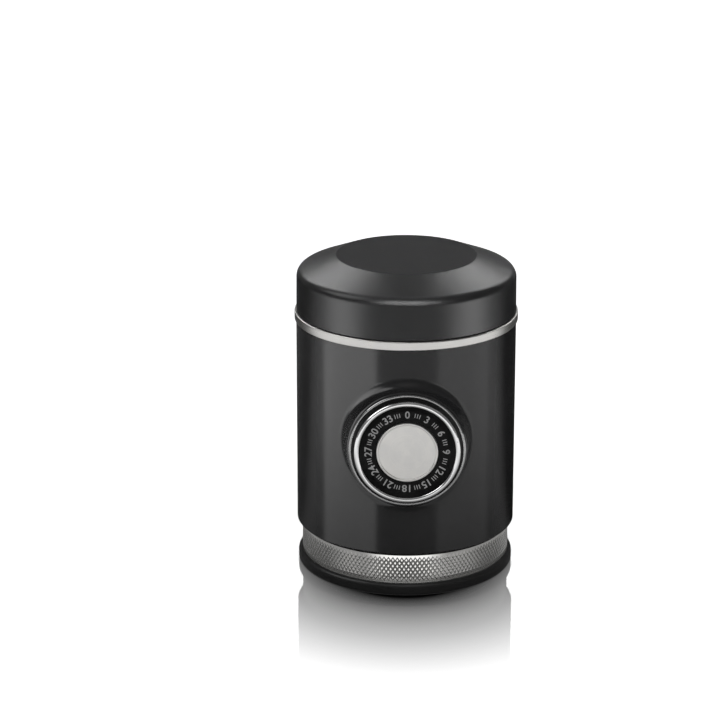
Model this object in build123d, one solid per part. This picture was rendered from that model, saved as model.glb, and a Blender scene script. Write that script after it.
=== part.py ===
from build123d import *
from math import cos, pi, radians, sin, sqrt, tan
import os

os.makedirs("parts", exist_ok=True)

# Millimetres and degrees. The round body stands on the Z axis with its foot on z = 0. The pump lies
# across it, with the knob at the front, towards -Y. Lengths named "out" run from the body's axis
# towards the knob.

# Outer form
body_radius = 35.5
shell_wall = 2.0
shell_edge_break = 0.35
shell_rib_width = 2.2       # inside rib that stands on the brew head
shell_rib_height = 1.6
foot_height = 4.0
foot_inset = 0.35
foot_rounding = 1.2
foot_floor = 2.2
grip_height = 9.5
grip_inset = 1.65
grip_land = 0.55            # plain edge above and below the knurled band
knurl_depth = 0.3
shell_gap = 1.1             # shadow gap between grip ring and shell
trim_height = 2.8
trim_overhang = 0.55
trim_step = 1.4
trim_rounding = 0.3

# Lid
lid_gap = 0.1
lid_inset = 0.05
lid_draft = 0.1
lid_wall = 1.7
lid_crown_wall = 2.0
lid_disc_radius = 22.6
lid_bevel_angle = 21.3
lid_shoulder_radius = 3.0
lid_disc_rounding = 1.2
liner_wall = 1.2
liner_lip = 1.0             # how far the liner's top web reaches in past the gasket
liner_rim = 0.3
lid_gasket_thickness = 1.6
lid_gasket_margin = 0.1

# Screw threads, alike on the tank's neck and on the grip ring's neck
thread_pitch = 3.0
thread_depth = 0.85
thread_clearance = 0.25
thread_root_width = 1.5
thread_crest_width = 0.8
thread_turns = 1.75
nut_thread_turns = 1.5
thread_lead_in = 1.0
thread_bite = 0.2           # how deep a ridge is rooted in its wall

# Water tank
tank_wall = 1.5
tank_floor = 1.5
tank_body_depth = 13.9
tank_neck_height = 9.7
tank_flange_width = 1.0
tank_flange_height = 1.2
tank_cone_height = 2.0
tank_floor_rounding = 1.2
standoff_radius = 3.2

# Brew head, shower screen and basket
neck_wall = 3.8             # of the grip ring's neck, round the basket
basket_wall = 0.6
basket_depth = 19.2
basket_flange = 1.0
basket_corner = 2.5
basket_hole_radius = 0.45
basket_hole_pitch = 2.6
basket_hole_margin = 3.0
neck_height = 10.6
gasket_thickness = 2.4
gasket_groove_depth = 1.5
gasket_margin = 0.2
plate_thickness = 5.5
skirt_wall = 1.6
skirt_bottom_gap = 0.9
screen_depth = 1.2
screen_wall = 0.6
screen_gap = 0.5
screen_hole_radius = 0.6
screen_hole_pitch = 3.4
screen_hole_margin = 1.8
water_hole_radius = 1.0
shower_screw_radius = 2.0
shower_screw_length = 5.0
shower_head_radius = 4.0
shower_head_height = 1.2

# Foot cover
spigot_gap = 0.8            # between the basket and the cover's spigot
spigot_wall = 1.6
spigot_height = 4.4
spigot_clearance = 0.4
socket_depth = 5.0
seal_width = 1.6
seal_bite = 0.7

# Pump
pump_flange = 2.6
pump_bore = 5.5
liner_tube_wall = 0.8
pump_wall = 2.2
pump_lead = 4.1             # how far the cylinder stands out past the spring's seat
tower_radius = 6.0
chamber_margin = 2.0
piston_length = 8.0
piston_end_gap = 1.0
rod_radius = 2.5
rod_guide_length = 5.0
rod_depth = 5.0
piston_seal_width = 2.4
piston_seal_height = 1.2
plug_length = 3.5
plug_head_radius = 7.5
plug_head_height = 2.0
plug_slot_width = 1.2
plug_slot_depth = 0.9
rib_thickness = 6.0

# Check valves
valve_bore = 3.0
valve_ledge = 1.5
ball_radius = 2.0
seat_height = 2.0
port_radius = 1.2
inlet_spring_length = 4.3
valve_spring_radius = 1.45
valve_spring_wire = 0.18
valve_spring_turns = 4
nipple_radius = 4.0
nipple_rise = 1.0
strainer_wall = 1.2
strainer_rise = 1.4
strainer_hole_radius = 0.7
face_seal_width = 1.2
face_seal_height = 1.0
face_seal_inset = 0.4

# Knob and its boss
boss_height = 4.2
boss_land = 1.5             # flat face of the boss round the knob guide
boss_angle = 7.0
boss_blend = 3.4
boss_rounding = 0.8
guide_wall = 1.42
guide_length = 4.0
guide_inset = 0.5
bezel_width = 0.95
bezel_height = 0.7
bezel_rounding = 0.42
knob_stroke = 18.0
knob_radius = 16.0
knob_wall = 1.6
knob_stand = 2.8
cup_wall = 1.6
stop_width = 0.8
stop_thickness = 1.5
stop_clearance = 0.1
knob_ring_height = 1.9
knob_ring_overhang = 0.7
knob_ring_width = 1.6
knob_ring_rounding = 0.7
dial_thickness = 0.7
dial_rim_height = 1.5       # of the sloped rim that rises to the knob's ring
dial_rim_width = 1.65
dial_radius = 9.85
disc_radius = 9.7
disc_lip_width = 0.75
disc_lip_height = 0.4
disc_inset = 0.1
hub_radius = 4.6
hub_length = 5.5
hub_web = 1.0
spring_seat_thickness = 2.0
spring_seat_gap = 0.5
return_wire = 0.75
return_turns = 9

# Small screws (M3) that tie tank, pump and brew head together
screw_radius = 1.5
screw_hole_radius = 1.7
screw_head_radius = 2.75
screw_head_height = 2.0
screw_grip = 10.0
screw_recess = 2.3
socket_radius = 1.3
socket_depth_in_head = 1.2
tie_back = 7.0              # distance of each screw before or behind the axis
tie_margin = 2.3            # between the screw heads and the basket's gasket

# Clearances
fit = 0.1                   # fixed pieces that slide together once, at assembly
running = 0.08              # sliding and turning pieces
pin_running = 0.05
ball_seat_gap = 0.03
knob_room = 0.7             # between the knob's stop collar and what lies above and below it
standoff_room = 0.6

stand = (Align.CENTER, Align.CENTER, Align.MIN)


# Heights, from the foot up
ring_top = foot_height + grip_height
shell_bottom = ring_top + shell_gap
neck_top = ring_top + neck_height
basket_top = neck_top + basket_flange
basket_bottom = basket_top - basket_depth
gasket_top = basket_top + gasket_thickness
plate_bottom = gasket_top - gasket_groove_depth
plate_top = plate_bottom + plate_thickness
skirt_bottom = shell_bottom + skirt_bottom_gap
screen_bottom = plate_bottom - screen_depth
pump_flange_top = plate_top + pump_flange
stop_radius = knob_radius + stop_width
knob_height = pump_flange_top + knob_room + stop_radius
tank_bottom = knob_height + stop_radius + knob_room
tank_floor_top = tank_bottom + tank_floor
shell_top = tank_bottom + tank_body_depth
trim_top = shell_top + trim_height
tank_flange_bottom = shell_top + trim_step
tank_flange_top = tank_flange_bottom + tank_flange_height
tank_rim = trim_top + tank_neck_height
lid_bottom = trim_top + lid_gap
lid_gasket_top = tank_rim + lid_gasket_thickness
liner_corner = lid_gasket_top + liner_rim

# Radii, from the shell and the lid inwards
shell_inner = body_radius - shell_wall
head_radius = shell_inner - fit
skirt_inner = head_radius - skirt_wall
ring_neck_radius = skirt_inner - thread_depth - thread_clearance
ring_bore = ring_neck_radius - neck_wall
basket_outer = ring_bore - 3 * fit
basket_radius = basket_outer - basket_wall  # 26 mm, for a 52 mm tamper
gasket_inner = basket_outer + gasket_margin
gasket_outer = ring_neck_radius - gasket_margin
spigot_inner = basket_outer + spigot_gap
spigot_outer = spigot_inner + spigot_wall
socket_bore = spigot_outer + spigot_clearance
grip_radius = body_radius - grip_inset
tank_outer = shell_inner - 2 * fit
tank_inner = tank_outer - tank_wall
lid_radius = body_radius - lid_inset
lid_inner = lid_radius - lid_wall
liner_outer = lid_inner - fit
liner_inner = liner_outer - liner_wall
tank_neck_radius = liner_inner - thread_depth - thread_clearance
tank_neck_inner = tank_neck_radius - tank_wall
screen_radius = basket_radius - screen_gap

# The lid's bevel rises from its wall to the flat disc on top, outside and inside alike
bevel_slope = tan(radians(lid_bevel_angle))
inner_disc_radius = lid_disc_radius - lid_crown_wall * tan(radians(lid_bevel_angle / 2))
lid_inner_corner = liner_corner + fit
lid_top = lid_inner_corner + (lid_inner - inner_disc_radius) * bevel_slope + lid_crown_wall
lid_edge = lid_top - (lid_radius - lid_draft - lid_disc_radius) * bevel_slope

# Distances out from the body's axis, along the pump
boss_out = body_radius + boss_height
knob_out = boss_out + knob_stand
cup_out = knob_out - knob_ring_height
spring_out = cup_out - cup_wall
guide_out = boss_out - guide_inset
guide_in = guide_out - guide_length
stop_out = guide_in - knob_stroke - stop_clearance
skirt_in = stop_out - stop_thickness
seat_out = skirt_in - spring_seat_gap
knob_inner = knob_radius - knob_wall
guide_bore = knob_radius + running
guide_outer = guide_bore + guide_wall
pump_outer = pump_bore + liner_tube_wall + pump_wall
boss_radius = guide_outer + boss_land
cylinder_out = seat_out + pump_lead
rod_guide_in = cylinder_out - rod_guide_length
piston_back = rod_guide_in - knob_stroke - piston_end_gap
piston_face = piston_back - piston_length
valve_offset = chamber_margin + port_radius - piston_face
liner_tube_end = -valve_offset + port_radius + chamber_margin / 2
chamber_end = -valve_offset - port_radius - chamber_margin
cylinder_end = chamber_end - plug_length
rod_out = cup_out - screw_head_height / 2 - fit - hub_web
recess_floor = rod_out + hub_web

# Places of the four tie screws, inside the basket's gasket
tie_radius = gasket_inner - screw_head_radius - tie_margin
tie_side = sqrt(tie_radius**2 - tie_back**2)
tie_places = [(x, y) for x in (-tie_side, tie_side) for y in (-tie_back, tie_back)]
pump_flange_radius = tie_radius + standoff_radius + standoff_room

# Valve heights
chamber_top = knob_height + pump_bore
chamber_bottom = knob_height - pump_bore
seat_drop = sqrt(ball_radius**2 - port_radius**2) + ball_seat_gap
inlet_ledge_top = chamber_top + valve_ledge
inlet_ball_height = inlet_ledge_top + inlet_spring_length + ball_radius
inlet_seat_bottom = inlet_ball_height + seat_drop
outlet_seat_bottom = chamber_bottom - valve_ledge - seat_height
outlet_ball_height = outlet_seat_bottom - seat_drop
nipple_top = tank_floor_top + nipple_rise

# Frames: a local Z axis that points out along the pump, and the valves' upright axis
pump_frame = Pos(0, 0, knob_height) * Rot(90, 0, 0)
valve_frame = Pos(0, valve_offset, 0)


def disc(radius, low, high):
    return Pos(0, 0, low) * Cylinder(radius, high - low, align=stand)


def ring(outer, inner, low, high):
    return disc(outer, low, high) - disc(inner, low, high)


def turned(*points):
    """A solid of revolution about Z from a closed outline of (radius, height) points."""
    outline = Polyline(*[(radius, 0, height) for radius, height in points], close=True)
    return revolve(make_face(outline), Axis.Z)


def circles_at(shape, height):
    """The round edges at one height, the smallest first."""
    level = shape.edges().filter_by_position(Axis.Z, height - 0.01, height + 0.01)
    return level.filter_by(GeomType.CIRCLE).sort_by(SortBy.RADIUS)


def rounded(shape, height, radius, place=-1):
    """Rounds the outermost round edge at a height, or the one that place picks."""
    return fillet(circles_at(shape, height)[place], radius)


def thread_ridge(wall, crest, start, turns):
    """A helical ridge on a round wall. A crest inside the wall makes the thread of a nut."""
    outward = 1 if crest > wall else -1
    foot = wall - outward * thread_bite
    outline = Polyline(
        (foot, 0, -thread_root_width / 2),
        (crest, 0, -thread_crest_width / 2),
        (crest, 0, thread_crest_width / 2),
        (foot, 0, thread_root_width / 2),
        close=True,
    )
    path = Helix(pitch=thread_pitch, height=thread_pitch * turns, radius=wall)
    return Pos(0, 0, start) * sweep(make_face(outline), path=path, is_frenet=True)


def coil(radius, wire, low, high, turns):
    """A spring of round wire between two flat seats."""
    height = high - low - 2 * wire - fit
    path = Helix(pitch=height / turns, height=height, radius=radius)
    section = Plane(origin=path @ 0, z_dir=path % 0) * Circle(wire)
    return Pos(0, 0, low + wire + fit / 2) * sweep(section, path=path, is_frenet=True)


def hole_rings(first, last, pitch):
    """Places of a ringed hole pattern: each ring holds as many holes as its length allows."""
    places = []
    radius = first
    while radius <= last:
        count = max(1, int(2 * pi * radius / pitch))
        places += [
            (radius * cos(2 * pi * i / count), radius * sin(2 * pi * i / count))
            for i in range(count)
        ]
        radius += pitch
    return places


def drilled(shape, places, radius, low, high):
    """The shape with upright holes cut at the places."""
    holes = [Pos(x, y, 0) * disc(radius, low, high) for x, y in places]
    return shape - holes


def socket_screw(radius, length, head_radius, head_height):
    """A screw that stands on its head: the head from z = 0 down, the shank up."""
    screw = disc(head_radius, -head_height, 0) + disc(radius, 0, length)
    hexagon = extrude(RegularPolygon(socket_radius, 6), socket_depth_in_head)
    return screw - Pos(0, 0, -head_height) * hexagon


# Foot and brew group

def make_base_cover():
    foot = disc(body_radius - foot_inset, 0, foot_height)
    for height in (0, foot_height):
        foot = rounded(foot, height, min(foot_rounding, foot_height / 2.5))
    cover = foot - disc(spigot_inner, foot_floor, foot_height)
    cover += ring(spigot_outer, spigot_inner, foot_height, foot_height + spigot_height)
    seal_low = foot_height + (spigot_height - seal_width) / 2
    return cover - ring(spigot_outer, spigot_outer - seal_bite, seal_low, seal_low + seal_width)


def make_base_seal():
    middle = foot_height + spigot_height / 2
    seal = ring(
        socket_bore - pin_running, spigot_outer - seal_bite,
        middle - seal_width / 2, middle + seal_width / 2,
    )
    return fillet(circles_at(seal, middle + seal_width / 2)[-1:]
                  + circles_at(seal, middle - seal_width / 2)[-1:], seal_width / 3)


def make_portafilter_ring():
    grip = disc(grip_radius, foot_height, ring_top)
    band = ring(grip_radius, grip_radius - knurl_depth, foot_height + grip_land, ring_top - grip_land)
    neck = disc(ring_neck_radius, ring_top, neck_top)
    body = grip - band + neck
    body -= disc(ring_bore, foot_height, neck_top)
    body -= disc(socket_bore, foot_height, foot_height + socket_depth)
    start = skirt_bottom + thread_lead_in
    return body + thread_ridge(ring_neck_radius, ring_neck_radius + thread_depth, start, thread_turns)


def make_filter_basket():
    cup = disc(basket_outer, basket_bottom, basket_top)
    cup = rounded(cup, basket_bottom, basket_corner + basket_wall)
    hollow = disc(basket_radius, basket_bottom + basket_wall, basket_top)
    hollow = rounded(hollow, basket_bottom + basket_wall, basket_corner)
    cup = cup + disc(gasket_outer, neck_top, basket_top) - hollow
    reach = basket_radius - basket_hole_margin
    places = hole_rings(basket_hole_pitch, reach, basket_hole_pitch)
    return drilled(cup, places, basket_hole_radius, basket_bottom, basket_bottom + basket_wall)


def make_basket_gasket():
    return ring(gasket_outer, gasket_inner, basket_top, gasket_top)


def make_shower_screen():
    screen = disc(screen_radius, screen_bottom, plate_bottom)
    screen = rounded(screen, screen_bottom, screen_wall)
    screen -= disc(screen_radius - screen_wall, screen_bottom + screen_wall, plate_bottom)
    screen -= disc(shower_screw_radius + fit, screen_bottom, plate_bottom)
    first = shower_head_radius + screen_hole_margin
    places = hole_rings(first, screen_radius - screen_hole_margin, screen_hole_pitch)
    return drilled(screen, places, screen_hole_radius, screen_bottom, screen_bottom + screen_wall)


def make_shower_screw():
    screw = socket_screw(shower_screw_radius, shower_screw_length, shower_head_radius, shower_head_height)
    screw = rounded(screw, -shower_head_height, shower_head_height / 2)
    return Pos(0, 0, screen_bottom) * screw


def make_brew_head():
    head = disc(head_radius, skirt_bottom, plate_top) - disc(skirt_inner, skirt_bottom, plate_bottom)
    groove = ring(ring_neck_radius, basket_outer, plate_bottom, gasket_top)
    head -= groove
    head += disc(shower_head_radius, screen_bottom + screen_wall, plate_bottom)
    head -= disc(shower_screw_radius + fit / 2, screen_bottom, screen_bottom + shower_screw_length + fit)
    head -= valve_frame * disc(water_hole_radius, plate_bottom, plate_top)
    head = drilled(head, tie_places, screw_hole_radius, plate_bottom, plate_top)
    head = drilled(head, tie_places, screw_head_radius + fit, plate_bottom, plate_bottom + screw_recess)
    start = skirt_bottom + thread_lead_in
    ridge = thread_ridge(skirt_inner, skirt_inner - thread_depth, start, nut_thread_turns)
    return head + Rot(0, 0, 180) * ridge


def make_tie_screws():
    length = plate_top - plate_bottom - screw_recess + pump_flange + screw_grip
    screw = socket_screw(screw_radius, length, screw_head_radius, screw_head_height)
    low = plate_bottom + screw_recess
    return Compound([Pos(x, y, low) * screw for x, y in tie_places])


# Pump

def face_seal_space(low):
    """The ring that a face seal fills, round the valves' axis."""
    inner = nipple_radius + face_seal_inset
    return valve_frame * ring(inner + face_seal_width, inner, low, low + face_seal_height)


def make_pump_block():
    flange = disc(pump_flange_radius, plate_top, pump_flange_top)
    flange = drilled(flange, tie_places, screw_hole_radius, plate_top, pump_flange_top)
    cylinder = pump_frame * disc(pump_outer, cylinder_end, cylinder_out)
    seat_back = seat_out - spring_seat_thickness
    spring_seat = pump_frame * disc(knob_inner - knob_room, seat_back, seat_out)
    tower = valve_frame * disc(tower_radius, plate_top, tank_bottom)
    nipple = valve_frame * disc(nipple_radius, tank_bottom, nipple_top)
    rib_size = (rib_thickness, seat_back + valve_offset, knob_height - plate_top)
    rib = Pos(0, -seat_back, plate_top) * Box(*rib_size, align=(Align.CENTER, Align.MIN, Align.MIN))
    block = flange + cylinder + spring_seat + tower + nipple + rib

    block -= pump_frame * disc(pump_bore, cylinder_end, cylinder_out)
    block -= pump_frame * disc(pump_bore + liner_tube_wall, liner_tube_end, cylinder_out)
    block -= valve_frame * disc(port_radius, chamber_bottom - valve_ledge, chamber_top + valve_ledge)
    block -= valve_frame * disc(valve_bore, plate_top, chamber_bottom - valve_ledge)
    block -= valve_frame * disc(valve_bore, inlet_ledge_top, nipple_top)
    for low in (plate_top, tank_bottom - face_seal_height):
        block -= face_seal_space(low)
    return block


def make_cylinder_liner():
    return pump_frame * ring(pump_bore + liner_tube_wall, pump_bore, liner_tube_end, rod_guide_in)


def make_rod_guide():
    outer = pump_bore + liner_tube_wall
    return pump_frame * ring(outer, rod_radius + pin_running, rod_guide_in, cylinder_out)


def make_cylinder_plug():
    plug = disc(pump_bore - pin_running, cylinder_end, chamber_end)
    plug += disc(plug_head_radius, cylinder_end - plug_head_height, cylinder_end)
    slot = Box(2 * plug_head_radius, plug_slot_width, plug_slot_depth, align=stand)
    return pump_frame * (plug - Pos(0, 0, cylinder_end - plug_head_height) * slot)


def make_piston():
    piston = disc(pump_bore - running, piston_face, piston_back)
    middle = (piston_face + piston_back) / 2
    low, high = middle - piston_seal_width / 2, middle + piston_seal_width / 2
    piston -= ring(pump_bore, pump_bore - running - piston_seal_height, low, high)
    return pump_frame * (piston - disc(rod_radius, piston_back - rod_depth, piston_back))


def make_piston_seal():
    middle = (piston_face + piston_back) / 2
    low, high = middle - piston_seal_width / 2, middle + piston_seal_width / 2
    return pump_frame * ring(pump_bore - pin_running, pump_bore - running - piston_seal_height, low, high)


def make_piston_rod():
    rod = disc(rod_radius, piston_back - rod_depth, rod_out)
    return pump_frame * (rod - disc(screw_radius + pin_running, rod_out - screw_grip, rod_out))


def make_rod_screw():
    head_height = screw_head_height / 2
    screw = socket_screw(screw_radius, screw_grip, screw_head_radius, head_height)
    return pump_frame * Pos(0, 0, recess_floor + pin_running) * Rot(180, 0, 0) * screw


def make_return_spring():
    radius = (pump_outer + knob_inner) / 2
    return pump_frame * coil(radius, return_wire, seat_out, spring_out, return_turns)


# Check valves

def make_valve_seat(bottom):
    return valve_frame * ring(valve_bore, port_radius, bottom, bottom + seat_height)


def make_valve_ball(height):
    return valve_frame * Pos(0, 0, height) * Sphere(ball_radius)


def make_valve_spring(low, ball_height):
    # The last turn lies round the ball's lower side, below its equator.
    high = ball_height - sqrt(ball_radius**2 - valve_spring_radius**2)
    return valve_frame * coil(valve_spring_radius, valve_spring_wire, low, high, valve_spring_turns)


def make_strainer():
    top = nipple_top + strainer_rise
    cap = disc(nipple_radius + strainer_wall, tank_floor_top, top)
    cap = rounded(cap, top, strainer_wall / 2)
    cap -= disc(nipple_radius + pin_running, tank_floor_top, top - strainer_wall)
    pitch = 3 * strainer_hole_radius
    places = [(0, 0)] + hole_rings(pitch, nipple_radius - strainer_hole_radius, pitch)
    cap = drilled(cap, places, strainer_hole_radius, top - strainer_wall, top)
    return valve_frame * cap


# Tank

def make_water_tank():
    cone_top = tank_flange_bottom
    tank = turned(
        (0, tank_bottom),
        (tank_outer, tank_bottom),
        (tank_outer, tank_flange_bottom),
        (tank_outer + tank_flange_width, tank_flange_bottom),
        (tank_outer + tank_flange_width, tank_flange_top),
        (tank_neck_radius, tank_flange_top),
        (tank_neck_radius, tank_rim),
        (tank_neck_inner, tank_rim),
        (tank_neck_inner, cone_top),
        (tank_inner, cone_top - tank_cone_height),
        (tank_inner, tank_floor_top),
        (0, tank_floor_top),
    )
    tank = rounded(tank, tank_floor_top, tank_floor_rounding)
    for x, y in tie_places:
        tank += Pos(x, y, 0) * disc(standoff_radius, pump_flange_top, tank_bottom)
    tank = drilled(
        tank, tie_places, screw_radius + pin_running, pump_flange_top, pump_flange_top + screw_grip + fit)
    tank -= valve_frame * disc(nipple_radius + fit, tank_bottom, tank_floor_top)
    start = tank_flange_top + thread_lead_in + thread_root_width / 2
    return tank + thread_ridge(tank_neck_radius, tank_neck_radius + thread_depth, start, thread_turns)


# Lid

def make_lid_shell():
    lid = turned(
        (lid_radius, lid_bottom),
        (lid_radius - lid_draft, lid_edge),
        (lid_disc_radius, lid_top),
        (0, lid_top),
        (0, lid_top - lid_crown_wall),
        (inner_disc_radius, lid_top - lid_crown_wall),
        (lid_inner, lid_inner_corner),
        (lid_inner, lid_bottom),
    )
    lid = rounded(lid, lid_edge, lid_shoulder_radius)
    lid = rounded(lid, lid_top, lid_disc_rounding)
    return rounded(lid, lid_bottom, trim_rounding)


def make_lid_liner():
    web_inner = tank_neck_inner - liner_lip
    web_top = liner_corner + (liner_outer - web_inner) * bevel_slope
    bottom = tank_flange_top + lid_gap + fit
    liner = turned(
        (liner_outer, bottom),
        (liner_outer, liner_corner),
        (web_inner, web_top),
        (web_inner, lid_gasket_top),
        (liner_inner, lid_gasket_top),
        (liner_inner, bottom),
    )
    start = tank_flange_top + thread_lead_in + thread_root_width / 2
    ridge = thread_ridge(liner_inner, liner_inner - thread_depth, start, nut_thread_turns)
    return liner + Rot(0, 0, 180) * ridge


def make_lid_gasket():
    inner = tank_neck_inner - lid_gasket_margin
    return ring(tank_neck_radius + lid_gasket_margin, inner, tank_rim, lid_gasket_top)


# Body

def make_body_shell():
    skin = disc(body_radius, shell_bottom, shell_top)
    flare = (boss_out - shell_inner / 2) * tan(radians(boss_angle))
    boss = turned(
        (0, shell_inner / 2),
        (boss_radius + flare, shell_inner / 2),
        (boss_radius, boss_out),
        (0, boss_out),
    )
    boss = pump_frame * rounded(boss, boss_out, boss_rounding)
    body = skin + boss
    seam = new_edges(skin, boss, combined=body)
    body = fillet(seam, boss_blend)
    body = chamfer(circles_at(body, shell_bottom)[-1], shell_edge_break)
    body -= disc(shell_inner, shell_bottom, shell_top)
    body -= pump_frame * disc(guide_outer, 0, boss_out)
    return body + ring(shell_inner, shell_inner - shell_rib_width, plate_top, plate_top + shell_rib_height)


def make_trim_ring():
    flange_radius = tank_outer + tank_flange_width
    trim = ring(body_radius + trim_overhang, tank_outer + fit, shell_top, trim_top)
    trim -= ring(flange_radius + fit, tank_outer, tank_flange_bottom, trim_top)
    return fillet(circles_at(trim, trim_top)[-1:] + circles_at(trim, shell_top)[-1:], trim_rounding)


def make_knob_guide():
    return pump_frame * ring(guide_outer, guide_bore, guide_in, guide_out)


def make_knob_bezel():
    bezel = ring(guide_outer + bezel_width, guide_outer, boss_out, boss_out + bezel_height)
    return pump_frame * fillet(circles_at(bezel, boss_out + bezel_height), bezel_rounding)


# Knob

def make_knob_cup():
    cup = disc(knob_radius, skirt_in, cup_out) + disc(stop_radius, skirt_in, stop_out)
    cup -= disc(knob_inner, skirt_in, spring_out)
    cup += disc(hub_radius, spring_out - hub_length, spring_out)
    cup -= disc(rod_radius + pin_running, spring_out - hub_length, rod_out)
    cup -= disc(screw_radius + pin_running, rod_out, cup_out)
    cup -= disc(screw_head_radius + fit, recess_floor, cup_out)
    return pump_frame * cup


def make_knob_ring():
    outer = knob_radius + knob_ring_overhang
    band = ring(outer, outer - knob_ring_width, cup_out, knob_out)
    rounding = min(knob_ring_rounding, knob_ring_width / 2.2)
    return pump_frame * fillet(circles_at(band, knob_out), rounding)


def make_knob_dial():
    outer = knob_radius + knob_ring_overhang - knob_ring_width - pin_running
    face = cup_out + dial_thickness
    return pump_frame * turned(
        (dial_radius, cup_out),
        (outer, cup_out),
        (outer, cup_out + dial_rim_height),
        (outer - dial_rim_width, face),
        (dial_radius, face),
    )


def make_knob_disc():
    front = knob_out - disc_inset
    face = disc(disc_radius, cup_out, front)
    face -= disc(disc_radius - disc_lip_width, front - disc_lip_height, front)
    return pump_frame * fillet(circles_at(face, front), disc_lip_width / 2.5)


nodes = {
    "base_cover": make_base_cover(),
    "base_seal": make_base_seal(),
    "portafilter_ring": make_portafilter_ring(),
    "filter_basket": make_filter_basket(),
    "basket_gasket": make_basket_gasket(),
    "shower_screen": make_shower_screen(),
    "shower_screw": make_shower_screw(),
    "brew_head": make_brew_head(),
    "tie_screws": make_tie_screws(),
    "pump_block": make_pump_block(),
    "outlet_face_seal": face_seal_space(plate_top),
    "tank_face_seal": face_seal_space(tank_bottom - face_seal_height),
    "cylinder_liner": make_cylinder_liner(),
    "cylinder_plug": make_cylinder_plug(),
    "rod_guide": make_rod_guide(),
    "piston": make_piston(),
    "piston_seal": make_piston_seal(),
    "piston_rod": make_piston_rod(),
    "rod_screw": make_rod_screw(),
    "return_spring": make_return_spring(),
    "inlet_seat": make_valve_seat(inlet_seat_bottom),
    "inlet_ball": make_valve_ball(inlet_ball_height),
    "inlet_spring": make_valve_spring(inlet_ledge_top, inlet_ball_height),
    "outlet_seat": make_valve_seat(outlet_seat_bottom),
    "outlet_ball": make_valve_ball(outlet_ball_height),
    "outlet_spring": make_valve_spring(plate_top, outlet_ball_height),
    "inlet_strainer": make_strainer(),
    "water_tank": make_water_tank(),
    "lid_shell": make_lid_shell(),
    "lid_liner": make_lid_liner(),
    "lid_gasket": make_lid_gasket(),
    "trim_ring": make_trim_ring(),
    "body_shell": make_body_shell(),
    "knob_guide": make_knob_guide(),
    "knob_bezel": make_knob_bezel(),
    "knob_cup": make_knob_cup(),
    "knob_ring": make_knob_ring(),
    "knob_dial": make_knob_dial(),
    "knob_disc": make_knob_disc(),
}

for name, shape in nodes.items():
    export_step(shape, f"parts/{name}.step")
print(f"lid top {lid_top:.2f}, knob axis {knob_height:.2f}, knob face {knob_out:.2f} mm")
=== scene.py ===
from math import cos, pi, sin

import bmesh
import bpy
from mathutils import Matrix, Vector


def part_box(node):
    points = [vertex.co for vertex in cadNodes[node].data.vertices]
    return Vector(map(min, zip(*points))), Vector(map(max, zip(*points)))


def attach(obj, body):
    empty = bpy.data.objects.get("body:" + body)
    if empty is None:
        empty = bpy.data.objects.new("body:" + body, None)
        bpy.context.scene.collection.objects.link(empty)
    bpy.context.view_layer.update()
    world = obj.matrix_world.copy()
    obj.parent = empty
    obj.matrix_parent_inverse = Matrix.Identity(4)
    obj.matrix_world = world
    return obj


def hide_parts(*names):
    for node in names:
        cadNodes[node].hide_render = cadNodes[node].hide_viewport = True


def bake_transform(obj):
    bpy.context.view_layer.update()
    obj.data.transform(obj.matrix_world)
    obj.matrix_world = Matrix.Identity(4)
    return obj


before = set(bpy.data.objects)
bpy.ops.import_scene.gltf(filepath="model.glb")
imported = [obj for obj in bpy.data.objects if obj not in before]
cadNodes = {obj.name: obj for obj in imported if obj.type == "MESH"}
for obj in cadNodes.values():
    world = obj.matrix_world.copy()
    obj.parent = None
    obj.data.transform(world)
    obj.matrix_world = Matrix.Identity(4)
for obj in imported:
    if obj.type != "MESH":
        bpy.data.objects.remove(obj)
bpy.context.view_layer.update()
mm = 0.001

ringLow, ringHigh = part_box("knob_ring")
knobCentre = (ringLow + ringHigh) / 2          # on the pump's axis, inside the knob's rim
knobAxis = Vector((0, -1, 0))
upAxis = Vector((0, 0, 1))
firstBounce = 1.5      # Ray Depth is below this for what a piece reflects straight, above it by way of the table


# Small helpers for building node trees
def addNode(tree, kind, inputs=None, **settings):
    node = tree.nodes.new(kind)
    for name, value in settings.items():
        setattr(node, name, value)
    for name, value in (inputs or {}).items():
        if isinstance(value, bpy.types.NodeSocket):
            tree.links.new(value, node.inputs[name])
        else:
            node.inputs[name].default_value = value
    return node


def calc(tree, operation, *values):
    return addNode(tree, "ShaderNodeMath", dict(enumerate(values)), operation=operation).outputs[0]


def vectorCalc(tree, operation, *values):
    node = addNode(tree, "ShaderNodeVectorMath", dict(enumerate(values)), operation=operation)
    return node.outputs["Value" if operation in ("DOT_PRODUCT", "LENGTH") else "Vector"]


def spread(tree, value, fromLow, fromHigh, toLow=0.0, toHigh=1.0, smooth=True):
    kind = "SMOOTHSTEP" if smooth else "LINEAR"
    inputs = {"Value": value, "From Min": fromLow, "From Max": fromHigh, "To Min": toLow, "To Max": toHigh}
    return addNode(tree, "ShaderNodeMapRange", inputs, interpolation_type=kind).outputs["Result"]


def mixColors(tree, factor, first, second):
    # Inputs 6 and 7 and output 2 are the node's colour sockets
    return addNode(tree, "ShaderNodeMix", {0: factor, 6: first, 7: second}, data_type="RGBA").outputs[2]


# Angle round the upright axis at a point, in degrees: 0 in front, + to the right
def headingAt(tree, place, origin=(0, 0, 0)):
    offset = vectorCalc(tree, "SUBTRACT", place, origin)
    part = addNode(tree, "ShaderNodeSeparateXYZ", {0: offset}).outputs
    return calc(tree, "DEGREES", calc(tree, "ARCTAN2", part["X"], calc(tree, "MULTIPLY", part["Y"], -1.0)))


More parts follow.
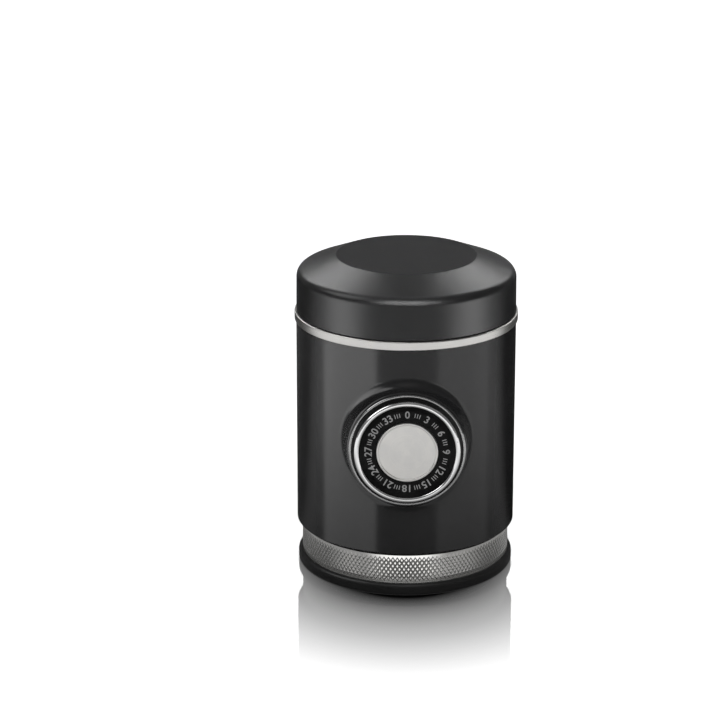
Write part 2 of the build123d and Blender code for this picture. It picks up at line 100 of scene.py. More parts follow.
def startGroup(name, inputs, outputs):
    group = bpy.data.node_groups.new(name, "ShaderNodeTree")
    for socketName, value in inputs.items():
        kind = "NodeSocketVector" if isinstance(value, tuple) else "NodeSocketFloat"
        socket = group.interface.new_socket(name=socketName, in_out="INPUT", socket_type=kind)
        socket.default_value = value
    for socketName in outputs:
        group.interface.new_socket(name=socketName, in_out="OUTPUT", socket_type="NodeSocketFloat")
    entry = group.nodes.new("NodeGroupInput").outputs
    leave = group.nodes.new("NodeGroupOutput").inputs
    return group, entry, leave


def useGroup(tree, group, inputs=None):
    return addNode(tree, "ShaderNodeGroup", inputs, node_tree=group).outputs


# What all materials share
surface = {
    "lineSlant": 1.37,          # keeps the hoops on a wall from repeating the rings on a face
    "bandScale": 0.06,          # one band for about 16 lines
    "metalGrain": 0.12 * mm,
    "rubPatches": 420.0,        # how closely a rubbed edge is broken up
    "rubGloss": 0.06,           # how much smoother a rubbed edge is
    "markRough": 0.08,          # how much rougher a handled metal face is
}


# Fine moulded or blasted grain, with slow handling marks over it
def makeGrainGroup():
    group, entry, leave = startGroup("surfaceGrain", {"Grain Size": 0.15 * mm, "Mark Size": 9 * mm},
                                     ("Grain", "Marks"))
    place = addNode(group, "ShaderNodeTexCoord").outputs["Object"]
    grainScale = calc(group, "DIVIDE", 1.0, entry["Grain Size"])
    markScale = calc(group, "DIVIDE", 1.0, entry["Mark Size"])
    grain = addNode(group, "ShaderNodeTexNoise", {"Vector": place, "Scale": grainScale, "Detail": 1.0,
                                                  "Roughness": 0.5})
    marks = addNode(group, "ShaderNodeTexNoise", {"Vector": place, "Scale": markScale, "Detail": 4.0,
                                                  "Roughness": 0.62, "Distortion": 0.4})
    group.links.new(grain.outputs[0], leave["Grain"])
    group.links.new(spread(group, marks.outputs[0], 0.34, 0.66), leave["Marks"])
    return group


# Fine lines left by turning: rings on a face, hoops on a wall
def makeTurnedGroup():
    group, entry, leave = startGroup(
        "turnedLines", {"Centre": (0, 0, 0), "Axis": (0, 0, 1), "Line Width": 0.06 * mm}, ("Lines", "Bands"))
    place = addNode(group, "ShaderNodeTexCoord").outputs["Object"]
    offset = vectorCalc(group, "SUBTRACT", place, entry["Centre"])
    along = vectorCalc(group, "DOT_PRODUCT", offset, entry["Axis"])
    axisPart = addNode(group, "ShaderNodeVectorMath", {0: entry["Axis"], "Scale": along}, operation="SCALE")
    radial = vectorCalc(group, "LENGTH", vectorCalc(group, "SUBTRACT", offset, axisPart.outputs[0]))
    track = calc(group, "DIVIDE", calc(group, "ADD", radial, calc(group, "MULTIPLY", along, surface["lineSlant"])),
                 entry["Line Width"])
    lines = addNode(group, "ShaderNodeTexNoise", {"W": track, "Scale": 1.0, "Detail": 2.0},
                    noise_dimensions="1D")
    bands = addNode(group, "ShaderNodeTexNoise", {"W": track, "Scale": surface["bandScale"], "Detail": 1.0},
                    noise_dimensions="1D")
    group.links.new(lines.outputs[0], leave["Lines"])
    group.links.new(bands.outputs[0], leave["Bands"])
    return group


# Where an edge has been rubbed: the corner's own bend, broken up by noise
def makeWearGroup():
    group, entry, leave = startGroup("edgeRub", {"Edge Size": 0.25 * mm}, ("Rub",))
    rounded = addNode(group, "ShaderNodeBevel", {"Radius": entry["Edge Size"]}, samples=4)
    normal = addNode(group, "ShaderNodeNewGeometry").outputs["Normal"]
    agree = vectorCalc(group, "DOT_PRODUCT", rounded.outputs["Normal"], normal)
    place = addNode(group, "ShaderNodeTexCoord").outputs["Object"]
    patches = addNode(group, "ShaderNodeTexNoise", {"Vector": place, "Scale": surface["rubPatches"],
                                                    "Detail": 3.0})
    bend = spread(group, agree, 0.995, 0.9)
    rub = calc(group, "MULTIPLY", bend, spread(group, patches.outputs[0], 0.35, 0.7))
    group.links.new(rub, leave["Rub"])
    return group


surfaceGrain = makeGrainGroup()
turnedLines = makeTurnedGroup()
edgeRub = makeWearGroup()


# A material with an empty Principled shader, ready for its own colour, gloss and bump
def startMaterial(name):
    material = bpy.data.materials.new(name)
    material.use_nodes = True
    tree = material.node_tree
    tree.nodes.clear()
    shader = addNode(tree, "ShaderNodeBsdfPrincipled")
    addNode(tree, "ShaderNodeOutputMaterial", {"Surface": shader.outputs[0]})
    return material, tree, shader


def gray(value, tint=(1, 1, 1)):
    return (value * tint[0], value * tint[1], value * tint[2], 1)


def setBump(tree, shader, height, distance):
    bump = addNode(tree, "ShaderNodeBump", {"Height": height, "Distance": distance, "Strength": 1.0})
    tree.links.new(bump.outputs[0], shader.inputs["Normal"])


def makePlastic(name, look):
    material, tree, shader = startMaterial(name)
    grain = useGroup(tree, surfaceGrain, {"Grain Size": look["grainSize"], "Mark Size": look["markSize"]})
    rub = useGroup(tree, edgeRub)["Rub"]
    tone = mixColors(tree, grain["Marks"], look["color"], look["markedColor"])
    tree.links.new(mixColors(tree, calc(tree, "MULTIPLY", rub, look["rub"]), tone, look["rubColor"]),
                   shader.inputs["Base Color"])
    low, high = look["roughness"]
    rough = spread(tree, grain["Marks"], 0.0, 1.0, low, high, smooth=False)
    rough = calc(tree, "ADD", rough, calc(tree, "MULTIPLY", calc(tree, "SUBTRACT", grain["Grain"], 0.5),
                                          look["grainSparkle"]))
    tree.links.new(calc(tree, "SUBTRACT", rough, calc(tree, "MULTIPLY", rub, surface["rubGloss"])),
                   shader.inputs["Roughness"])
    setBump(tree, shader, grain["Grain"], look["grainDepth"])
    shader.inputs["Specular IOR Level"].default_value = look["specular"]
    return material


def makeMetal(name, look):
    material, tree, shader = startMaterial(name)
    lines = useGroup(tree, turnedLines, {"Centre": look["centre"], "Axis": look["axis"],
                                         "Line Width": look["lineWidth"]})
    grain = useGroup(tree, surfaceGrain, {"Grain Size": surface["metalGrain"], "Mark Size": look["markSize"]})
    tone = mixColors(tree, lines["Bands"], look["color"], look["bandColor"])
    marked = calc(tree, "MULTIPLY", grain["Marks"], look["marks"])
    tree.links.new(mixColors(tree, marked, tone, look["markColor"]), shader.inputs["Base Color"])
    low, high = look["roughness"]
    rough = spread(tree, lines["Lines"], 0.25, 0.75, low, high, smooth=False)
    tree.links.new(calc(tree, "ADD", rough, calc(tree, "MULTIPLY", marked, surface["markRough"])),
                   shader.inputs["Roughness"])
    setBump(tree, shader, lines["Lines"], look["lineDepth"])
    shader.inputs["Metallic"].default_value = 1.0
    return material


def paint(material, *names):
    for name in names:
        for place in cadNodes[name].material_slots:
            place.material = material


coolTint = (1, 1, 1.03)
warmTint = (1, 0.985, 0.95)
steelTint = (1, 0.99, 0.96)
charcoal = {
    "color": gray(0.019, coolTint), "markedColor": gray(0.021, coolTint), "rubColor": gray(0.05),
    "rub": 0.35, "roughness": (0.17, 0.21), "grainSize": 0.11 * mm, "grainDepth": 0.0008 * mm,
    "grainSparkle": 0.015, "markSize": 14 * mm, "specular": 0.3,
}
lidCharcoal = dict(charcoal, roughness=(0.285, 0.295), markedColor=gray(0.02, coolTint))
footCharcoal = dict(charcoal, roughness=(0.34, 0.4), color=gray(0.012), markedColor=gray(0.015))
nylon = {
    "color": gray(0.022), "markedColor": gray(0.03), "rubColor": gray(0.09), "rub": 0.3,
    "roughness": (0.42, 0.52), "grainSize": 0.2 * mm, "grainDepth": 0.004 * mm, "grainSparkle": 0.05,
    "markSize": 8 * mm, "specular": 0.45,
}
greyAcetal = dict(nylon, color=gray(0.32, (1, 1, 0.98)), markedColor=gray(0.36), rubColor=gray(0.45),
                  roughness=(0.36, 0.44))
smokeTank = dict(nylon, color=gray(0.06), markedColor=gray(0.075), rubColor=gray(0.12),
                 roughness=(0.16, 0.24), grainDepth=0.001 * mm, specular=0.5)
silicone = dict(nylon, color=gray(0.09), markedColor=gray(0.115), rubColor=gray(0.13),
                roughness=(0.55, 0.68), grainDepth=0.002 * mm, specular=0.4)
dialBlack = dict(nylon, color=gray(0.004), markedColor=gray(0.006), rubColor=gray(0.012),
                 roughness=(0.3, 0.36), grainSize=0.08 * mm, grainDepth=0.0008 * mm, specular=0.12)
dialPrint = dict(nylon, color=gray(0.42), markedColor=gray(0.48), rubColor=gray(0.48), specular=0.2)

onAxis = {"centre": (0, 0, 0), "axis": tuple(upAxis)}
onPump = {"centre": tuple(knobCentre), "axis": tuple(knobAxis)}
satinRing = dict(onAxis, color=gray(0.72, warmTint), bandColor=gray(0.77, warmTint),
                 markColor=gray(0.66), marks=0.25, markSize=6 * mm, roughness=(0.26, 0.36),
                 lineWidth=0.05 * mm, lineDepth=0.0015 * mm)
satinDisc = dict(satinRing, **onPump)
satinDisc.update(color=gray(0.78, warmTint), bandColor=gray(0.83, (1, 0.985, 0.955)),
                 roughness=(0.3, 0.4), markSize=4 * mm)
chrome = dict(onPump, color=gray(0.9), bandColor=gray(0.93), markColor=gray(0.82), marks=0.15,
              markSize=5 * mm, roughness=(0.04, 0.08), lineWidth=0.03 * mm, lineDepth=0.0001 * mm)
darkChrome = dict(chrome, color=gray(0.42), bandColor=gray(0.45), markColor=gray(0.36),
                  lineDepth=0.00004 * mm)
gripSteel = dict(onAxis, color=gray(0.6, steelTint), bandColor=gray(0.64, steelTint),
                 markColor=gray(0.5), marks=0.3, markSize=7 * mm, roughness=(0.16, 0.24),
                 lineWidth=0.04 * mm, lineDepth=0.0006 * mm)
polishedSteel = dict(gripSteel, color=gray(0.72), bandColor=gray(0.76), roughness=(0.14, 0.22), marks=0.2)
pumpSteel = dict(polishedSteel, **onPump)
wireSteel = dict(onPump, color=gray(0.5), bandColor=gray(0.56), markColor=gray(0.4), marks=0.4,
                 markSize=3 * mm, roughness=(0.22, 0.34), lineWidth=0.05 * mm, lineDepth=0.001 * mm)
screwSteel = dict(wireSteel, **onAxis)
turnedBrass = dict(screwSteel, color=(0.76, 0.56, 0.24, 1), bandColor=(0.8, 0.6, 0.28, 1),
                   markColor=(0.6, 0.42, 0.18, 1), roughness=(0.2, 0.3))

paint(makePlastic("satinCharcoal", charcoal), "body_shell")
paint(makePlastic("lidCharcoal", lidCharcoal), "lid_shell")
paint(makePlastic("footCharcoal", footCharcoal), "base_cover")
paint(makePlastic("mouldedNylon", nylon), "lid_liner", "knob_guide", "knob_cup", "brew_head", "pump_block")
paint(makePlastic("greyAcetal", greyAcetal), "cylinder_plug", "rod_guide", "piston", "inlet_strainer")
paint(makePlastic("smokedTank", smokeTank), "water_tank")
paint(makePlastic("mattSilicone", silicone), "base_seal", "basket_gasket", "lid_gasket", "piston_seal",
      "outlet_face_seal", "tank_face_seal")
paint(makePlastic("dialBlack", dialBlack), "knob_dial")
paint(makeMetal("satinRing", satinRing), "trim_ring")
paint(makeMetal("spunDisc", satinDisc), "knob_disc")
paint(makeMetal("polishedChrome", chrome), "knob_ring")
paint(makeMetal("darkChrome", darkChrome), "knob_bezel")
gripMaterial = makeMetal("gripSteel", gripSteel)
paint(gripMaterial, "portafilter_ring")
paint(makeMetal("polishedSteel", polishedSteel), "filter_basket", "shower_screen", "inlet_ball", "outlet_ball")
paint(makeMetal("pumpSteel", pumpSteel), "cylinder_liner", "piston_rod")
paint(makeMetal("screwSteel", screwSteel), "tie_screws", "shower_screw")
wireMaterial = makeMetal("springWire", wireSteel)
paint(wireMaterial, "rod_screw", "return_spring", "inlet_spring", "outlet_spring")
paint(makeMetal("turnedBrass", turnedBrass), "inlet_seat", "outlet_seat")
print("materials done")


# A mesh piece in the scene, with its material, the body it rides on and its material slot
def newPiece(name, vertices, faces, material, body):
    mesh = bpy.data.meshes.new(name)
    mesh.from_pydata(vertices, [], faces)
    mesh.validate()
    mesh.update()
    piece = bpy.data.objects.new(name, mesh)
    bpy.context.scene.collection.objects.link(piece)
    mesh.materials.append(material)
    if body:
        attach(piece, body)
    return piece


# The grip's rolled diamond knurl: rows of blunt four-sided points round the ring's recessed band
knurl = {
    "around": 148,              # points in one row
    "rows": 4,
    "crest": 33.83 * mm,
    "valley": 33.62 * mm,
    "inside": 33.52 * mm,       # the sleeve's hidden inner wall
    "low": 4.56 * mm,
    "high": 12.94 * mm,
    "flat": 0.46,               # share of each point that stays flat on top
}


def makeKnurl():
    around, levels = knurl["around"], 2 * knurl["rows"]
    step = 2 * pi / around
    rise = (knurl["high"] - knurl["low"]) / levels
    vertices, faces = [], []

    def point(radius, column, level):
        angle = column * step
        vertices.append((radius * sin(angle), -radius * cos(angle), knurl["low"] + level * rise))
        return len(vertices) - 1

    grid = [[point(knurl["valley"], i + 0.5 * (level % 2), level) for i in range(around)]
            for level in range(levels + 1)]
    for level in range(levels + 1):
        shift = level % 2
        for i in range(around):
            left, right = grid[level][i], grid[level][(i + 1) % around]
            between = (i + shift) % around
            below = grid[level - 1][between] if level > 0 else None
            above = grid[level + 1][between] if level < levels else None
            if below is None or above is None:
                faces.append((left, right, above) if below is None else (left, below, right))
                continue
            middle, flat = i + 0.5 + 0.5 * shift, knurl["flat"]
            corners = (left, below, right, above)
            tops = [point(knurl["crest"], middle + dx * flat, level + dz * flat)
                    for dx, dz in ((-0.5, 0), (0, -1), (0.5, 0), (0, 1))]
            faces.append(tuple(tops))
            faces += [(corners[k], corners[(k + 1) % 4], tops[(k + 1) % 4], tops[k]) for k in range(4)]
    inner = {}                              # the hidden wall's bottom and top edges
    for level, turned in ((0, 1), (levels, -1)):
        edge = inner[level] = [point(knurl["inside"], i, level) for i in range(around)]
        for i in range(around):
            j = (i + 1) % around
            faces.append((grid[level][i], edge[i], edge[j], grid[level][j])[::turned])
    for i in range(around):
        j = (i + 1) % around
        faces.append((inner[0][i], inner[levels][i], inner[levels][j], inner[0][j]))
    return newPiece("grip_knurl", vertices, faces, gripMaterial, "portafilter")


gripKnurl = makeKnurl()
print("knurl done")


# Generic scale printed on the knob's black ring: plain numbers with short strokes between them
dial = {
    "face": 41.3 * mm,          # how far out the ring's flat face stands
    "proud": 0.03 * mm,
    "numbers": [3 * i for i in range(12)],
    "numberHeight": 2.3 * mm,
    "heightInFont": 0.7,        # a digit's height as a share of the font's size
    "numberWeight": 0.05 * mm,
    "numberRadius": 12.1 * mm,
    "strokes": (0.38, 0.5, 0.62),     # shares of the way from one number to the next
    "strokeRadius": (11.5 * mm, 12.9 * mm),
    "strokeWidth": 0.26 * mm,
}


def makeNumber(text):
    curve = bpy.data.curves.new("number", "FONT")
    curve.body, curve.size = text, dial["numberHeight"] / dial["heightInFont"]
    curve.align_x, curve.align_y = "CENTER", "CENTER"
    curve.resolution_u, curve.extrude, curve.offset = 3, dial["proud"] / 2, dial["numberWeight"]
    holder = bpy.data.objects.new("number", curve)
    bpy.context.scene.collection.objects.link(holder)
    bpy.context.view_layer.update()
    mesh = bpy.data.meshes.new_from_object(holder.evaluated_get(bpy.context.evaluated_depsgraph_get()))
    bpy.data.objects.remove(holder)
    bpy.data.curves.remove(curve)
    return mesh


def makeDialMarks():
    shape = bmesh.new()
    facing = Matrix.Translation((0, -dial["face"] - dial["proud"] / 2, knobCentre.z)) @ Matrix.Rotation(
        pi / 2, 4, "X")
    for i, number in enumerate(dial["numbers"]):
        turn = Matrix.Rotation(-2 * pi * i / len(dial["numbers"]), 4, "Z")
        mesh = makeNumber(str(number))
        mesh.transform(facing @ turn @ Matrix.Translation((0, dial["numberRadius"], 0)))
        shape.from_mesh(mesh)
        bpy.data.meshes.remove(mesh)
        for step in dial["strokes"]:
            turn = Matrix.Rotation(-2 * pi * (i + step) / len(dial["numbers"]), 4, "Z")
            low, high = dial["strokeRadius"]
            outward = Matrix.Translation((0, (low + high) / 2, 0))
            size = Matrix.Diagonal((dial["strokeWidth"], high - low, dial["proud"], 1))
            bmesh.ops.create_cube(shape, size=1.0, matrix=facing @ turn @ outward @ size)
    mesh = bpy.data.meshes.new("dial_marks")
    shape.to_mesh(mesh)
    shape.free()
    piece = bpy.data.objects.new("dial_marks", mesh)
    bpy.context.scene.collection.objects.link(piece)
    mesh.materials.clear()
    mesh.materials.append(makePlastic("dialPrint", dialPrint))
    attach(piece, "knob")


makeDialMarks()
print("dial done")


# Springs drawn as coils of wire in the place of the model's spring parts, which are hidden
springs = {
    "return_spring": {"turns": 9, "wire": 0.75 * mm, "axis": "Y", "ends": ("plunger", "body"), "sides": 12},
    "inlet_spring": {"turns": 4, "wire": 0.18 * mm, "axis": "Z", "ends": ("body", "inlet_valve"), "sides": 8},
    "outlet_spring": {"turns": 4, "wire": 0.18 * mm, "axis": "Z", "ends": ("body", "outlet_valve"), "sides": 8},
}
coil = {
    "stepsPerTurn": 48,
    "closed": 0.8,              # the part of a turn that lies flat at each end
}


def fixNormals(mesh):
    shape = bmesh.new()
    shape.from_mesh(mesh)
    bmesh.ops.recalc_face_normals(shape, faces=shape.faces)
    shape.to_mesh(mesh)
    shape.free()
    mesh.shade_smooth()


def makeSpring(name, look):
    low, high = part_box(name)
    middle = (low + high) / 2
    along = Vector((0, 1, 0)) if look["axis"] == "Y" else upAxis
    across = Vector((1, 0, 0))
    third = along.cross(across)
    length = (high - low).dot(along)
    wire, turns, sides = look["wire"], look["turns"], look["sides"]
    radius = (high.x - low.x) / 2 - wire
    steps, closed = coil["stepsPerTurn"] * turns, coil["closed"]
    vertices, faces = [], []
    for i in range(steps + 1):
        u = turns * i / steps
        rise = min(max((u - closed) / (turns - 2 * closed), 0), 1) * (length - 2 * wire) + wire - length / 2
        outward = across * cos(2 * pi * u) + third * sin(2 * pi * u)
        centre = middle + along * rise + outward * radius
        for k in range(sides):
            angle = 2 * pi * k / sides
            vertices.append(centre + (outward * cos(angle) + along * sin(angle)) * wire)
        if i:
            a, b = (i - 1) * sides, i * sides
            faces += [(a + k, b + k, b + (k + 1) % sides, a + (k + 1) % sides) for k in range(sides)]
    faces.append(tuple(range(sides))[::-1])
    faces.append(tuple(range(steps * sides, (steps + 1) * sides)))
    piece = newPiece(name + "_coil", vertices, faces, wireMaterial, None)
    fixNormals(piece.data)
    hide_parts(name)
    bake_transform(piece)


for springName, springLook in springs.items():
    makeSpring(springName, springLook)
print("springs done")


camera = {
    "place": Vector((-0.01204, -0.8801, 0.35997)),
    "aim": Vector((-0.01493, 0.00591, 0.06621)),
    "lens": 142.8,
    "sensor": 36,
    "clip": (0.05, 20),
}


def makeCamera():
    data = bpy.data.cameras.new("mainCamera")
    data.lens, data.sensor_width = camera["lens"], camera["sensor"]
    data.clip_start, data.clip_end = camera["clip"]
    holder = bpy.data.objects.new("mainCamera", data)
    bpy.context.scene.collection.objects.link(holder)
    holder.location = camera["place"]
    holder.rotation_euler = (camera["aim"] - camera["place"]).to_track_quat("-Z", "Y").to_euler()
    bpy.context.scene.camera = holder


makeCamera()


# Studio light drawn in the world: a soft sky, a large panel overhead and a faint low one in front.
# Azimuth 0 is the front, + is right.
studio = {
    "low": 0.11,                # strength near the horizon
    "high": 0.3,                # strength overhead
    "highFrom": (45, 75),
    "inMirror": 0.15,           # what the table's mirror image of the object reflects in turn
    # name, azimuth, half width, elevation, half height, soft edges (degrees), strength
    "panels": [
        ("overhead", 0, 30, 59, 20, (14, 9), 3.4),
        ("frontLow", 0, 60, 12, 22, (40, 12), 0.14),
    ],
}


def panelMask(tree, turn, tilt, azimuth, halfWidth, elevation, halfHeight, softEdges):
    away = calc(tree, "ABSOLUTE", calc(tree, "SUBTRACT", turn, azimuth))
    away = calc(tree, "MINIMUM", away, calc(tree, "SUBTRACT", 360.0, away))
    rise = calc(tree, "ABSOLUTE", calc(tree, "SUBTRACT", tilt, elevation))
    across = spread(tree, away, halfWidth + softEdges[0] / 2, halfWidth - softEdges[0] / 2)
    upright = spread(tree, rise, halfHeight + softEdges[1] / 2, halfHeight - softEdges[1] / 2)
    return calc(tree, "MULTIPLY", across, upright)


def addPanels(tree, turn, tilt, panels, total):
    for name, azimuth, halfWidth, elevation, halfHeight, softEdges, strength in panels:
        mask = panelMask(tree, turn, tilt, azimuth, halfWidth, elevation, halfHeight, softEdges)
        total = calc(tree, "ADD", total, calc(tree, "MULTIPLY", mask, strength))
    return total


def makeWorld():
    world = bpy.data.worlds.new("studio")
    bpy.context.scene.world = world
    world.use_nodes = True
    tree = world.node_tree
    tree.nodes.clear()
    direction = addNode(tree, "ShaderNodeTexCoord").outputs["Generated"]
    turn = headingAt(tree, direction)
    height = addNode(tree, "ShaderNodeSeparateXYZ", {0: direction}).outputs["Z"]
    tilt = calc(tree, "DEGREES", calc(tree, "ARCSINE", height))
    total = spread(tree, tilt, *studio["highFrom"], studio["low"], studio["high"])
    total = addPanels(tree, turn, tilt, studio["panels"], total)
    path = addNode(tree, "ShaderNodeLightPath").outputs
    mirrored = calc(tree, "MULTIPLY", path["Is Glossy Ray"],
                    calc(tree, "GREATER_THAN", path["Ray Depth"], firstBounce))
    total = spread(tree, mirrored, 0.0, 1.0, total, studio["inMirror"], smooth=False)
    light = addNode(tree, "ShaderNodeBackground", {"Color": gray(1), "Strength": total})
    white = addNode(tree, "ShaderNodeBackground", {"Color": gray(1), "Strength": 1.0})
    seen = calc(tree, "MAXIMUM", path["Is Camera Ray"], path["Is Transmission Ray"])
    mixed = addNode(tree, "ShaderNodeMixShader", {0: seen, 1: light.outputs[0], 2: white.outputs[0]})
    addNode(tree, "ShaderNodeOutputWorld", {"Surface": mixed.outputs[0]})


makeWorld()


# The white glossy table. Its mirror image fades away from the foot, and metal sees it as white.
table = {
    "size": 3.0,
    "white": 0.8,
    "glow": 0.82,               # seen by the camera only, so that the lit table is white
    "gloss": 0.03,
    "mirrorNear": 36 * mm,
    "mirrorFar": 106 * mm,
    "mirrorTone": 0.25,         # how bright the object is in the table's mirror
    "mirrorSides": 1.33,        # the mirror image fades sooner to the sides
    "shine": 0.9,               # brightness of the table in the object's own reflections
    "shineNear": 20 * mm,
    "shineFar": 230 * mm,
    "shineFloor": 0.12,
    "backFrom": 92,             # degrees from the front where the table falls into shade
    "backTo": 120,
    "backShade": 0.03,
    "screenRadius": 4.0,        # the white screen round the scene that only the mirror sees
}


def makePlane(name, size, height):
    mesh = bpy.data.meshes.new(name)
    half = size / 2
    corners = [(-half, -half, height), (half, -half, height), (half, half, height), (-half, half, height)]
    mesh.from_pydata(corners, [], [(0, 1, 2, 3)])
    plane = bpy.data.objects.new(name, mesh)
    bpy.context.scene.collection.objects.link(plane)
    return plane


def makeTable():
    floor = makePlane("tableTop", table["size"], 0.0)
    material = bpy.data.materials.new("tableWhite")
    material.use_nodes = True
    material.cycles.emission_sampling = "NONE"
    tree = material.node_tree
    tree.nodes.clear()
    path = addNode(tree, "ShaderNodeLightPath").outputs
    place = addNode(tree, "ShaderNodeTexCoord").outputs["Object"]
    stretched = vectorCalc(tree, "MULTIPLY", place, (table["mirrorSides"], 1, 1))
    mirrorShare = spread(tree, vectorCalc(tree, "LENGTH", stretched), table["mirrorNear"], table["mirrorFar"],
                         1.0, 0.0, smooth=False)
    matt = addNode(tree, "ShaderNodeBsdfDiffuse", {"Color": gray(table["white"])})
    glow = addNode(tree, "ShaderNodeEmission", {"Strength": calc(tree, "MULTIPLY", path["Is Camera Ray"],
                                                                 table["glow"])})
    both = addNode(tree, "ShaderNodeAddShader", {0: matt.outputs[0], 1: glow.outputs[0]})
    mirror = addNode(tree, "ShaderNodeBsdfGlossy", {"Color": gray(table["mirrorTone"]),
                                                    "Roughness": table["gloss"]})
    seenTop = addNode(tree, "ShaderNodeMixShader", {0: mirrorShare, 1: both.outputs[0], 2: mirror.outputs[0]})
    near = spread(tree, vectorCalc(tree, "LENGTH", place), table["shineNear"], table["shineFar"],
                  table["shineFloor"], 1.0)
    turn = calc(tree, "ABSOLUTE", headingAt(tree, place))
    back = spread(tree, turn, table["backFrom"], table["backTo"], 1.0, table["backShade"])
    shine = calc(tree, "MULTIPLY", calc(tree, "MULTIPLY", near, back), table["shine"])
    shineTop = addNode(tree, "ShaderNodeEmission", {"Strength": shine})
    glossy = calc(tree, "MAXIMUM", path["Is Glossy Ray"], path["Is Transmission Ray"])
    mixed = addNode(tree, "ShaderNodeMixShader", {0: glossy, 1: seenTop.outputs[0], 2: shineTop.outputs[0]})
    addNode(tree, "ShaderNodeOutputMaterial", {"Surface": mixed.outputs[0]})
    floor.data.materials.append(material)
    return floor


# Bright sheets and shells that only some pieces see in their gloss. They cast no light on anything else,
# and don't show up in the table's mirror image.
def addGlow(thing, makeStrength, receivers):
    material = bpy.data.materials.new(thing.name)
    material.use_nodes = True
    material.cycles.emission_sampling = "NONE"
    tree = material.node_tree
    tree.nodes.clear()
    place = addNode(tree, "ShaderNodeTexCoord").outputs["Object"]
    depth = addNode(tree, "ShaderNodeLightPath").outputs["Ray Depth"]
    direct = calc(tree, "LESS_THAN", depth, firstBounce)
    glow = addNode(tree, "ShaderNodeEmission", {
        "Color": gray(1), "Strength": calc(tree, "MULTIPLY", makeStrength(tree, place), direct)})
    clear = addNode(tree, "ShaderNodeBsdfTransparent")
    both = addNode(tree, "ShaderNodeAddShader", {0: glow.outputs[0], 1: clear.outputs[0]})
    addNode(tree, "ShaderNodeOutputMaterial", {"Surface": both.outputs[0]})
    thing.data.materials.append(material)
    thing.visible_camera = thing.visible_diffuse = thing.visible_shadow = False
    thing.visible_transmission = thing.visible_volume_scatter = False
    group = bpy.data.collections.new(thing.name + "Receivers")
    for receiver in receivers:
        group.objects.link(receiver)
    thing.light_linking.receiver_collection = group


def makeShell(name, radius, makeStrength, receivers):
    mesh = bpy.data.meshes.new(name)
    shape = bmesh.new()
    bmesh.ops.create_icosphere(shape, subdivisions=4, radius=radius)
    shape.to_mesh(mesh)
    shape.free()
    shell = bpy.data.objects.new(name, mesh)
    bpy.context.scene.collection.objects.link(shell)
    addGlow(shell, makeStrength, receivers)


def makePanelShell(name, radius, panels, receivers):
    def strengthAt(tree, place):
        turn = headingAt(tree, place)
        height = addNode(tree, "ShaderNodeSeparateXYZ", {0: place}).outputs["Z"]
        tilt = calc(tree, "DEGREES", calc(tree, "ARCSINE", calc(tree, "DIVIDE", height, radius)))
        return addPanels(tree, turn, tilt, panels, 0.0)

    makeShell(name, radius, strengthAt, receivers)


# Long bright cards on the table at both sides, which draw the upright streaks on the black walls.
# Each card is a wedge between two headings, taken from the two spots where the wall shows its edges.
cards = {
    "bodyStreaks": {
        "height": 0.2 * mm,
        "spots": ((9.8 * mm, 34.1 * mm), (26.6 * mm, 23.5 * mm)),     # inner edge, outer edge
        # side, headings of the inner and outer edge, strength at each
        "wedges": [(-1, (31.5, 96), (2.9, 2.45)), (1, (33, 95), (1.12, 0.75)), (-1, (97, 172), (0.05, 0.07))],
        "soft": (2.5, 4.0),                     # width of each edge, in degrees
        "fade": (20 * mm, 260 * mm, 0.3),       # near, far, and the share of its strength near by
    },
    "lidStreaks": {
        "height": 0.4 * mm,
        "spots": ((14 * mm, 32 * mm), (24 * mm, 26 * mm)),
        "wedges": [(-1, (52, 88), (4.6, 3.6)), (1, (52, 88), (4.6, 3.6))],
        "soft": (40.0, 30.0),
        "fade": (20 * mm, 260 * mm, 0.5),
    },
}


def makeCard(name, receivers):
    look = cards[name]

    def strengthAt(tree, place):
        total = 0.0
        softInner, softOuter = look["soft"]
        for side, headings, strengths in look["wedges"]:
            fromInner, fromOuter = [calc(tree, "MULTIPLY", headingAt(tree, place, (side * x, -y, 0)), side)
                                    for x, y in look["spots"]]
            mask = calc(tree, "MULTIPLY",
                        spread(tree, fromInner, headings[0] - softInner / 2, headings[0] + softInner / 2),
                        spread(tree, fromOuter, headings[1] + softOuter / 2, headings[1] - softOuter / 2))
            strength = spread(tree, fromInner, *headings, *strengths, smooth=False)
            total = calc(tree, "ADD", total, calc(tree, "MULTIPLY", mask, strength))
        near, far, least = look["fade"]
        fade = spread(tree, vectorCalc(tree, "LENGTH", place), near, far, least, 1.0, smooth=False)
        return calc(tree, "MULTIPLY", total, fade)

    addGlow(makePlane(name, table["size"], look["height"]), strengthAt, receivers)


# The bright table just in front of the steel grip, and the light that catches the sides of its points
grip = {
    "height": 0.3 * mm,
    "from": (45 * mm, 51 * mm),
    "strength": (1.45, 0.2),    # in front, at the sides
    "headings": (14, 36),       # where the one passes into the other
    "shellRadius": 3.6,
    "panels": [
        ("pointsFront", 0, 26, 16, 18, (24, 12), 0.35),
        ("pointsRight", 100, 25, 16, 18, (30, 12), 0.35),
    ],
}


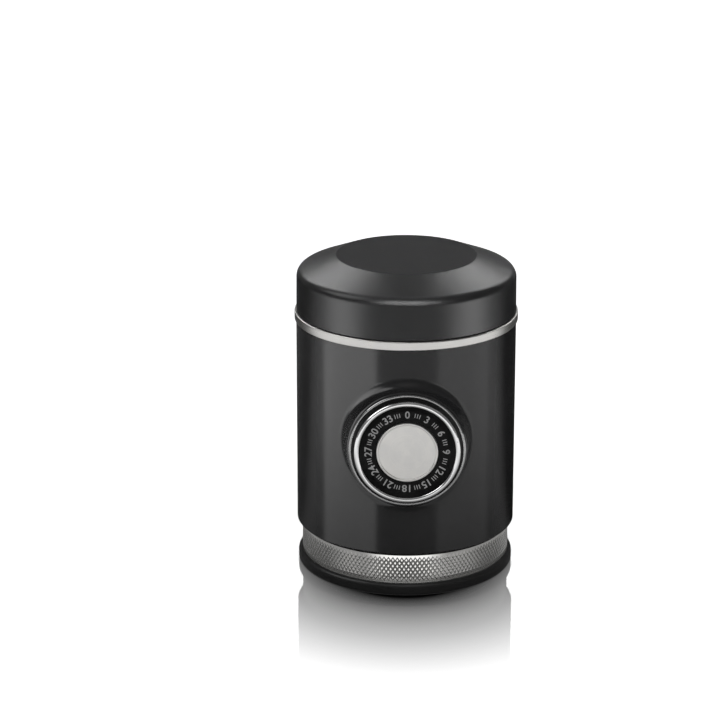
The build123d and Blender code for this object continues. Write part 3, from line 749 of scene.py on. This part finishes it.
def makeGripLight(receivers):
    def strengthAt(tree, place):
        turn = calc(tree, "ABSOLUTE", headingAt(tree, place))
        strength = spread(tree, turn, *grip["headings"], *grip["strength"])
        return calc(tree, "MULTIPLY", strength, spread(tree, vectorCalc(tree, "LENGTH", place), *grip["from"]))

    addGlow(makePlane("gripTable", table["size"], grip["height"]), strengthAt, receivers)
    makePanelShell("gripShine", grip["shellRadius"], grip["panels"], receivers)


# Panels that only the named pieces see in their gloss. Every shell needs a radius of its own, since a ray
# passes only one of two surfaces that lie in the same place.
outside = ("lid_shell", "body_shell", "trim_ring", "knob_ring", "knob_bezel", "knob_disc", "knob_cup",
           "portafilter_ring", "base_cover")
shines = {
    "lidShine": {
        "radius": 3.8, "nodes": ("lid_shell",),
        "panels": [("shoulder", 0, 30, 36, 21, (24, 12), 7.2),
                   ("zenith", 180, 60, 76, 12, (30, 16), 0.75)],
    },
    "backShine": {
        "radius": 3.9, "nodes": ("lid_shell", "trim_ring", "knob_ring"),
        "panels": [("backLeft", -151, 12, 42, 14, (16, 30), 5.6),
                   ("backRight", 151, 12, 42, 14, (16, 30), 5.2)],
    },
    "bodyShine": {
        "radius": 3.7, "nodes": ("body_shell",),
        "panels": [("bossLeft", -80, 28, 14, 16, (24, 14), 4.5)],
    },
    "sideShine": {
        "radius": 3.5, "nodes": outside,
        "panels": [("leftHigh", -84, 22, 46, 16, (16, 14), 3.2)],
    },
}

tableTop = makeTable()
makeShell("mirrorScreen", table["screenRadius"], lambda tree, place: 1.0 / table["mirrorTone"], [tableTop])
makeCard("bodyStreaks", [cadNodes["body_shell"]])
makeCard("lidStreaks", [cadNodes["lid_shell"]])
makeGripLight([gripKnurl, cadNodes["portafilter_ring"]])
for shineName, shine in shines.items():
    receivers = [cadNodes[name] for name in shine["nodes"]]
    if "portafilter_ring" in shine["nodes"]:
        receivers.insert(0, gripKnurl)
    makePanelShell(shineName, shine["radius"], shine["panels"], receivers)
print("studio done")

bpy.context.scene.view_settings.view_transform = "Standard"
